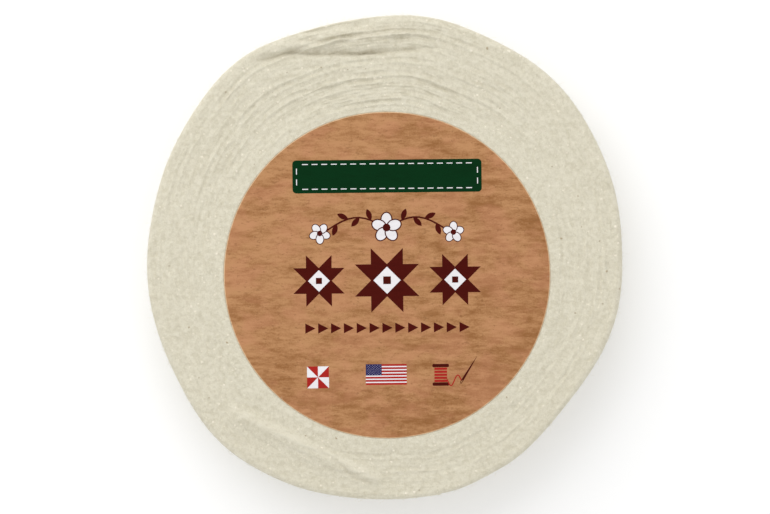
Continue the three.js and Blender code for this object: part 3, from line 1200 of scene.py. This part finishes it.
def print_flag():
    """Thirteen stripes, the red ones widened as their ink spreads, and a canton of fifty stars."""
    left = FLAG["centre"][0] - FLAG["width"] / 2
    right = left + FLAG["width"]
    top = FLAG["centre"][1] + FLAG["height"] / 2
    white = FLAG["height"] / (WHITE_STRIPES + RED_STRIPES * RED_TO_WHITE)
    print_shape("white", bar(left, top - FLAG["height"], right, top))
    for row in range(RED_STRIPES):
        stripe_top = top - row * white * (1 + RED_TO_WHITE)
        print_shape("red", bar(left, stripe_top - white * RED_TO_WHITE, right, stripe_top))
    canton_height = white * (CANTON_STRIPES["red"] * RED_TO_WHITE + CANTON_STRIPES["white"])
    print_shape("navy", bar(left, top - canton_height, left + FLAG["canton_width"], top))
    for row in range(STAR_ROWS):
        short = row % 2
        for column in range(LONG_ROW - short):
            from_hoist = (2 * column + 1 + short) * FLAG["canton_width"] / (2 * LONG_ROW)
            down = (row + 1) * canton_height / (STAR_ROWS + 1)
            print_shape("white", small_star(), (left + from_hoist, top - down))


print_flag()
print("a flag with", RED_STRIPES + WHITE_STRIPES, "stripes")

# %% A pinwheel block: four red and four white triangles round the middle of a square
PINWHEEL = {"centre": (-54.5, -79), "size": 17}

half = PINWHEEL["size"] / 2
for quarter in range(4):
    turn = quarter * math.pi / 2
    print_shape("red", [(0, 0), (half, 0), (half, half)], PINWHEEL["centre"], turn)
    print_shape("white", [(0, 0), (half, half), (0, half)], PINWHEEL["centre"], turn)
print("a pinwheel block", PINWHEEL["size"], "mm across")

# %% A spool with rows of thread, a needle with an eye, and the loose thread that runs between them
SPOOL = {"centre": (41, -78), "width": 13, "height": 17, "flange": 2.6, "rows": 5, "between": 0.3}
NEEDLE = {"centre": (63, -74), "length": 26, "width": 2.0, "turn": math.radians(58)}
EYE = {"from_middle": -0.42, "length": 2.6, "width": 0.7}
NEEDLE_SIDE = [(-0.46, 0.8), (-0.36, 0.9), (0.1, 0.55)]
THREAD = {"from_middle": 0.38, "swing": 4.5, "line": 0.9, "points": 22}

wound_reach = THREAD["from_middle"] * SPOOL["width"]
for side in (-1, 1):
    up = side * (SPOOL["height"] - SPOOL["flange"]) / 2
    flange = rounded_bar(SPOOL["width"], SPOOL["flange"], corner=1.0, steps=3)
    print_shape("maroon", flange, (SPOOL["centre"][0], SPOOL["centre"][1] + up))
wound_low = SPOOL["flange"] - SPOOL["height"] / 2
wound_row = (SPOOL["height"] - 2 * SPOOL["flange"]) / SPOOL["rows"]
for row in range(SPOOL["rows"]):
    low = wound_low + row * wound_row + SPOOL["between"]
    high = wound_low + (row + 1) * wound_row - SPOOL["between"]
    print_shape("red", bar(-wound_reach, low, wound_reach, high), SPOOL["centre"])

needle = [(-0.5, -0.5), *[(x, -y) for x, y in NEEDLE_SIDE], (0.5, 0), *reversed(NEEDLE_SIDE)]
needle = [(x * NEEDLE["length"], y * NEEDLE["width"] / 2) for x, y in needle]
eye_reach = EYE["from_middle"] * NEEDLE["length"]
eye = (
    NEEDLE["centre"][0] + eye_reach * math.cos(NEEDLE["turn"]),
    NEEDLE["centre"][1] + eye_reach * math.sin(NEEDLE["turn"]),
)
share = np.linspace(0, 1, THREAD["points"])
start = (SPOOL["centre"][0] + wound_reach, SPOOL["centre"][1] + wound_low + wound_row)
thread_x = start[0] + (eye[0] - start[0]) * share
thread_y = start[1] + (eye[1] - start[1]) * share - THREAD["swing"] * np.sin(2 * math.pi * share)
print_shape("red", stroke(np.column_stack([thread_x, thread_y]), THREAD["line"]))
print_shape("maroon", needle, NEEDLE["centre"], NEEDLE["turn"])
print_shape("kraft", oval(EYE["length"], EYE["width"], sides=10), eye, NEEDLE["turn"])
print(len(prints), "printed shapes")

# %% [markdown]
# ## The card
# Triangles that follow every ink edge would be long and thin on bare card, so a grid of loose points is
# added to the triangulation. Those points also let the card cockle: thin card on soft wadding is never
# quite flat, though its rim is held down where the wadding grips it. The sheet is closed with a copy of
# itself below and a small rounded edge.

# %% Triangulate the printed face
INKS = ["cut_edge", "kraft", "green", "maroon", "white", "red", "navy"]
EDGE_ROUND = 0.3
EDGE_RING = 0.3
GRID_STEP = 6.0
GRID_INSET = 3.6
COCKLE = 0.3
HELD_RIM = 14
INSIDE_ONLY = 1
JOIN_WITHIN = 0.0001
ON_RIM = 0.02
CUT_EDGE_ANGLE = 35


def card_plan():
    """The flat triangles of the printed face, each with its ink."""
    flat_across = 2 * (label_radius - EDGE_ROUND)
    face_across = flat_across - 2 * EDGE_RING
    shapes = [("cut_edge", oval(flat_across, flat_across, CIRCLE_SIDES))]
    shapes.append(("kraft", oval(face_across, face_across, CIRCLE_SIDES)))
    shapes += prints
    outlines = [points for _, points in shapes]
    reach = np.arange(-label_radius, label_radius, GRID_STEP)
    grid = [(x + GRID_STEP * 0.5 * (i % 2), y) for i, y in enumerate(reach) for x in reach]
    grid = [p for p in grid if math.hypot(*p) < label_radius - GRID_INSET]
    vertices = [Vector(p) for points in outlines for p in points] + [Vector(p) for p in grid]
    loops = []
    first = 0
    for points in outlines:
        loops.append(list(range(first, first + len(points))))
        first += len(points)
    cut = geometry.delaunay_2d_cdt(vertices, [], loops, INSIDE_ONLY, JOIN_WITHIN)
    flat, _, triangles, _, _, inside = cut
    inks = [INKS.index(shapes[max(owners)][0]) for owners in inside]
    return [tuple(p) for p in flat], triangles, inks


flat, triangles, inks = card_plan()
print("printed face:", len(triangles), "triangles")


# %% Close the card
def card_mesh(flat, triangles, inks):
    """The face, its rounded edge and its back as one closed mesh."""
    cosine, sine = math.cos(CARD_TURN), math.sin(CARD_TURN)
    plan = np.array(flat) @ np.array([[cosine, sine], [-sine, cosine]])
    lift = np.clip(COCKLE * (1 + uneven("cockle", plan)), 0, 3 * COCKLE)
    lift *= smooth(label_radius - np.linalg.norm(plan, axis=1), 0, HELD_RIM)
    top = label_high.z / MM
    bottom = label_low.z / MM
    flat_radius = label_radius - EDGE_ROUND
    rim = [i for i, p in enumerate(flat) if abs(math.hypot(*p) - flat_radius) < ON_RIM]
    rim.sort(key=lambda i: math.atan2(flat[i][1], flat[i][0]))
    widened = plan[rim] * label_radius / flat_radius
    layers = [
        np.column_stack([plan, top + lift]),
        np.column_stack([widened, top - EDGE_ROUND + lift[rim]]),
        np.column_stack([widened, bottom + EDGE_ROUND + lift[rim]]),
        np.column_stack([plan, bottom + lift]),
    ]
    starts = np.cumsum([0] + [len(layer) for layer in layers]).tolist()
    loops = [rim, range(starts[1], starts[2]), range(starts[2], starts[3]), [starts[3] + i for i in rim]]
    faces = [tuple(t) for t in triangles]
    faces += [tuple(starts[3] + i for i in reversed(t)) for t in triangles]
    for upper, lower in zip(loops, loops[1:]):
        for i in range(len(rim)):
            j = (i + 1) % len(rim)
            faces.append((upper[i], lower[i], lower[j], upper[j]))
    paint = inks + [INKS.index("cut_edge")] * (len(faces) - len(inks))
    made = bpy.data.meshes.new("card_label")
    points = np.concatenate(layers)
    points[:, :2] += label_middle
    made.from_pydata((points * MM).tolist(), [], faces)
    made.validate()
    made.polygons.foreach_set("material_index", paint)
    made.shade_smooth()
    made.set_sharp_from_angle(angle=math.radians(CUT_EDGE_ANGLE))
    return made


card = new_object("card_label", card_mesh(flat, triangles, inks))
print("card:", len(card.data.vertices), "points in one closed sheet")

# %% [markdown]
# ## Kraft card and inks
# Kraft paper keeps the run of the machine: its fibres lie mostly one way, so its tone has short streaks
# along x, in longer clouded bands. It also has soft redder blotches and small dark flecks of bark. Its tone
# is painted a little paler towards its upper left, the side the key light comes from, as painted light. Ink
# sinks into it, so each ink shows a little of the same streaks and is only slightly smoother than the bare
# card. One group of nodes makes the paper, and it serves the bare card, its cut edge and every ink.


# %% Kraft paper, with its grains counted along a metre in x and in y
# Painted light: the card's tone grows paler along this direction, towards the upper left where the key
# light stands.
KRAFT_PAINTED_LIGHT = (-0.27, 0.15, 0.0)
KRAFT_GRAINS = {
    "clouds": {"x": 34.0, "y": 122.0, "detail": 3.0},
    "flecks": {"x": 300.0, "y": 640.0, "detail": 1.0},
    "blush": {"x": 40.0, "y": 64.0, "detail": 2.0},
}
STREAKS_IN_X = 100.0
GRAINS_IN_Z = 60.0
PULP_GRAINS = 900.0
KRAFT_TONE = {"clouds": 0.4, "streaks": 0.44, "pulp": 0.2, "fade": 1.0}
KRAFT_HEIGHT = {"pulp": 1.0, "streaks": 0.4}
FLECKED = (0.62, 0.74)
BLUSHED = (0.42, 0.66)


def kraft_group():
    """Tone, flecks, redder blotches and height of uncoated kraft paper, with painted light that makes the
    tone paler towards the upper left.
    """
    group, given, result = new_group(
        "kraft_paper",
        {"Place": "vector", "Streak": "number"},
        {"Tone": "number", "Height": "number", "Fleck": "number", "Blush": "number"},
    )
    place_in = out(given, "Place")

    def stretched(x, y, detail, roughness=0.55):
        """Noise that is drawn out along one way of the sheet."""
        scale = out(place(group, "ShaderNodeCombineXYZ", {"X": x, "Y": y, "Z": GRAINS_IN_Z}))
        where = place(group, "ShaderNodeVectorMath", {0: place_in, 1: scale}, operation="MULTIPLY")
        return noise(group, out(where), 1.0, detail, roughness)

    # Painted light: a tone gradient towards the upper left.
    fade = place(group, "ShaderNodeVectorMath", {0: place_in, 1: KRAFT_PAINTED_LIGHT}, operation="DOT_PRODUCT")
    parts = {name: stretched(**grain) for name, grain in KRAFT_GRAINS.items()}
    parts["streaks"] = stretched(STREAKS_IN_X, out(given, "Streak"), detail=4.0, roughness=0.66)
    parts["pulp"] = noise(group, place_in, PULP_GRAINS, detail=3.0, roughness=0.65)
    parts["fade"] = out(fade, "Value")
    tone = weighted(group, parts, KRAFT_TONE)
    height = weighted(group, parts, KRAFT_HEIGHT)
    fleck = remap(group, parts["flecks"], *FLECKED)
    blush = remap(group, parts["blush"], *BLUSHED)
    put_out(group, result, {"Tone": tone, "Height": height, "Fleck": fleck, "Blush": blush})
    return group


kraft = kraft_group()
print("group", kraft.name, "has", len(kraft.nodes), "nodes")

# %% The bare card and its inks
BLUSH = colour(190, 132, 100)
STREAKS_IN_Y = 330.0
CARD_TONES = (0.36, 0.64)
FLECK = {"share": 0.3, "darker": 0.6}
CARD_RELIEF = {"strength": 0.5, "distance": 0.00015}
CARD_SHINE = 0.06
CARD_FINISHES = {
    "kraft": {"light": (181, 134, 93), "dark": (143, 97, 58), "rough": 0.8, "contrast": 1.1, "blush": 0.35},
    "green": {"light": (0, 47, 18), "dark": (0, 39, 12), "rough": 0.6, "contrast": 0.5},
    "maroon": {"light": (76, 14, 6), "dark": (62, 6, 2), "rough": 0.62, "contrast": 0.5},
    "white": {"light": (232, 230, 234), "dark": (216, 212, 212), "rough": 0.65, "contrast": 0.5},
    "red": {"light": (172, 40, 34), "dark": (148, 28, 26), "rough": 0.62, "contrast": 0.5},
    "navy": {"light": (50, 46, 92), "dark": (36, 32, 76), "rough": 0.62, "contrast": 0.5},
    "cut_edge": {"light": (218, 186, 150), "dark": (194, 158, 120), "rough": 0.85, "contrast": 1.0},
}


def printed_card(name, light, dark, rough, contrast, blush=0.0):
    """Kraft card in one colour, bare or inked."""
    settings = {"Roughness": rough, "Specular IOR Level": CARD_SHINE}
    material, tree, shader, where = new_material(name, settings)
    light, dark = colour(*light), colour(*dark)
    paper = place(tree, "ShaderNodeGroup", node_tree=kraft)
    tree.links.new(where, paper.inputs["Place"])
    paper.inputs["Streak"].default_value = STREAKS_IN_Y
    half = contrast / 2
    tone = remap(tree, out(paper, "Tone"), *CARD_TONES, 0.5 - half, 0.5 + half)
    base = blend(tree, tone, dark, light)
    if blush:
        base = blend(tree, calculate(tree, "MULTIPLY", out(paper, "Blush"), blush), base, BLUSH)
    fleck = calculate(tree, "MULTIPLY", out(paper, "Fleck"), FLECK["share"] * contrast)
    bark = (*(FLECK["darker"] * c for c in dark[:3]), 1.0)
    tree.links.new(blend(tree, fleck, base, bark), shader.inputs["Base Color"])
    add_relief(tree, shader, out(paper, "Height"), **CARD_RELIEF)
    return material


for ink in INKS:
    card.data.materials.append(printed_card("card_" + ink, **CARD_FINISHES[ink]))
print("card finishes:", len(card.data.materials))

# %% [markdown]
# ## Floor and light
# The roll lies on a plain pale floor under soft light. A large low light from beyond the top of the
# label, a little to its left, rakes across the face and brings out the rings. A weaker one from the
# near side, and a white sky, keep the shadows light.

# %% Floor, sky and two soft lights
FLOOR_SIZE = 8.0
LIGHTS = [
    {"name": "key", "place": (-0.9, 1.95, 1.5), "size": 3.0, "watts": 41},
    {"name": "fill", "place": (0.7, -1.3, 1.9), "size": 3.0, "watts": 6},
]
SKY_STRENGTH = 0.84

half = FLOOR_SIZE / 2
floor_mesh = bpy.data.meshes.new("floor")
corners = [(-half, -half, 0), (half, -half, 0), (half, half, 0), (-half, half, 0)]
floor_mesh.from_pydata(corners, [], [(0, 1, 2, 3)])
floor = new_object("floor", floor_mesh)
floor_look = {"Base Color": colour(251, 251, 251), "Roughness": 0.9}
floor_mesh.materials.append(new_material("floor", floor_look)[0])

world = bpy.data.worlds.new("studio")
world.use_nodes = True
sky = world.node_tree.nodes["Background"]
sky.inputs["Color"].default_value = (1.0, 1.0, 1.0, 1.0)
sky.inputs["Strength"].default_value = SKY_STRENGTH
bpy.context.scene.world = world

for light in LIGHTS:
    data = bpy.data.lights.new(light["name"], "AREA")
    data.size = light["size"]
    data.energy = light["watts"]
    lamp = new_object(light["name"], data)
    lamp.location = light["place"]
    lamp.rotation_euler = (-Vector(light["place"])).to_track_quat("-Z", "Y").to_euler()
print("a floor", FLOOR_SIZE, "m across, and", len(LIGHTS), "soft lights")

# %% [markdown]
# ## Attaching the pieces
# The wound strip stands for the measured roll and the card for the measured label. Fibres, neps and seed go
# with the roll.

# %% Attach every piece, and hide the measured solids
for piece in (roll, fibres, neps, seeds):
    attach(piece, "root")
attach(card, "root")
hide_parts("batting_roll")
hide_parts("label")
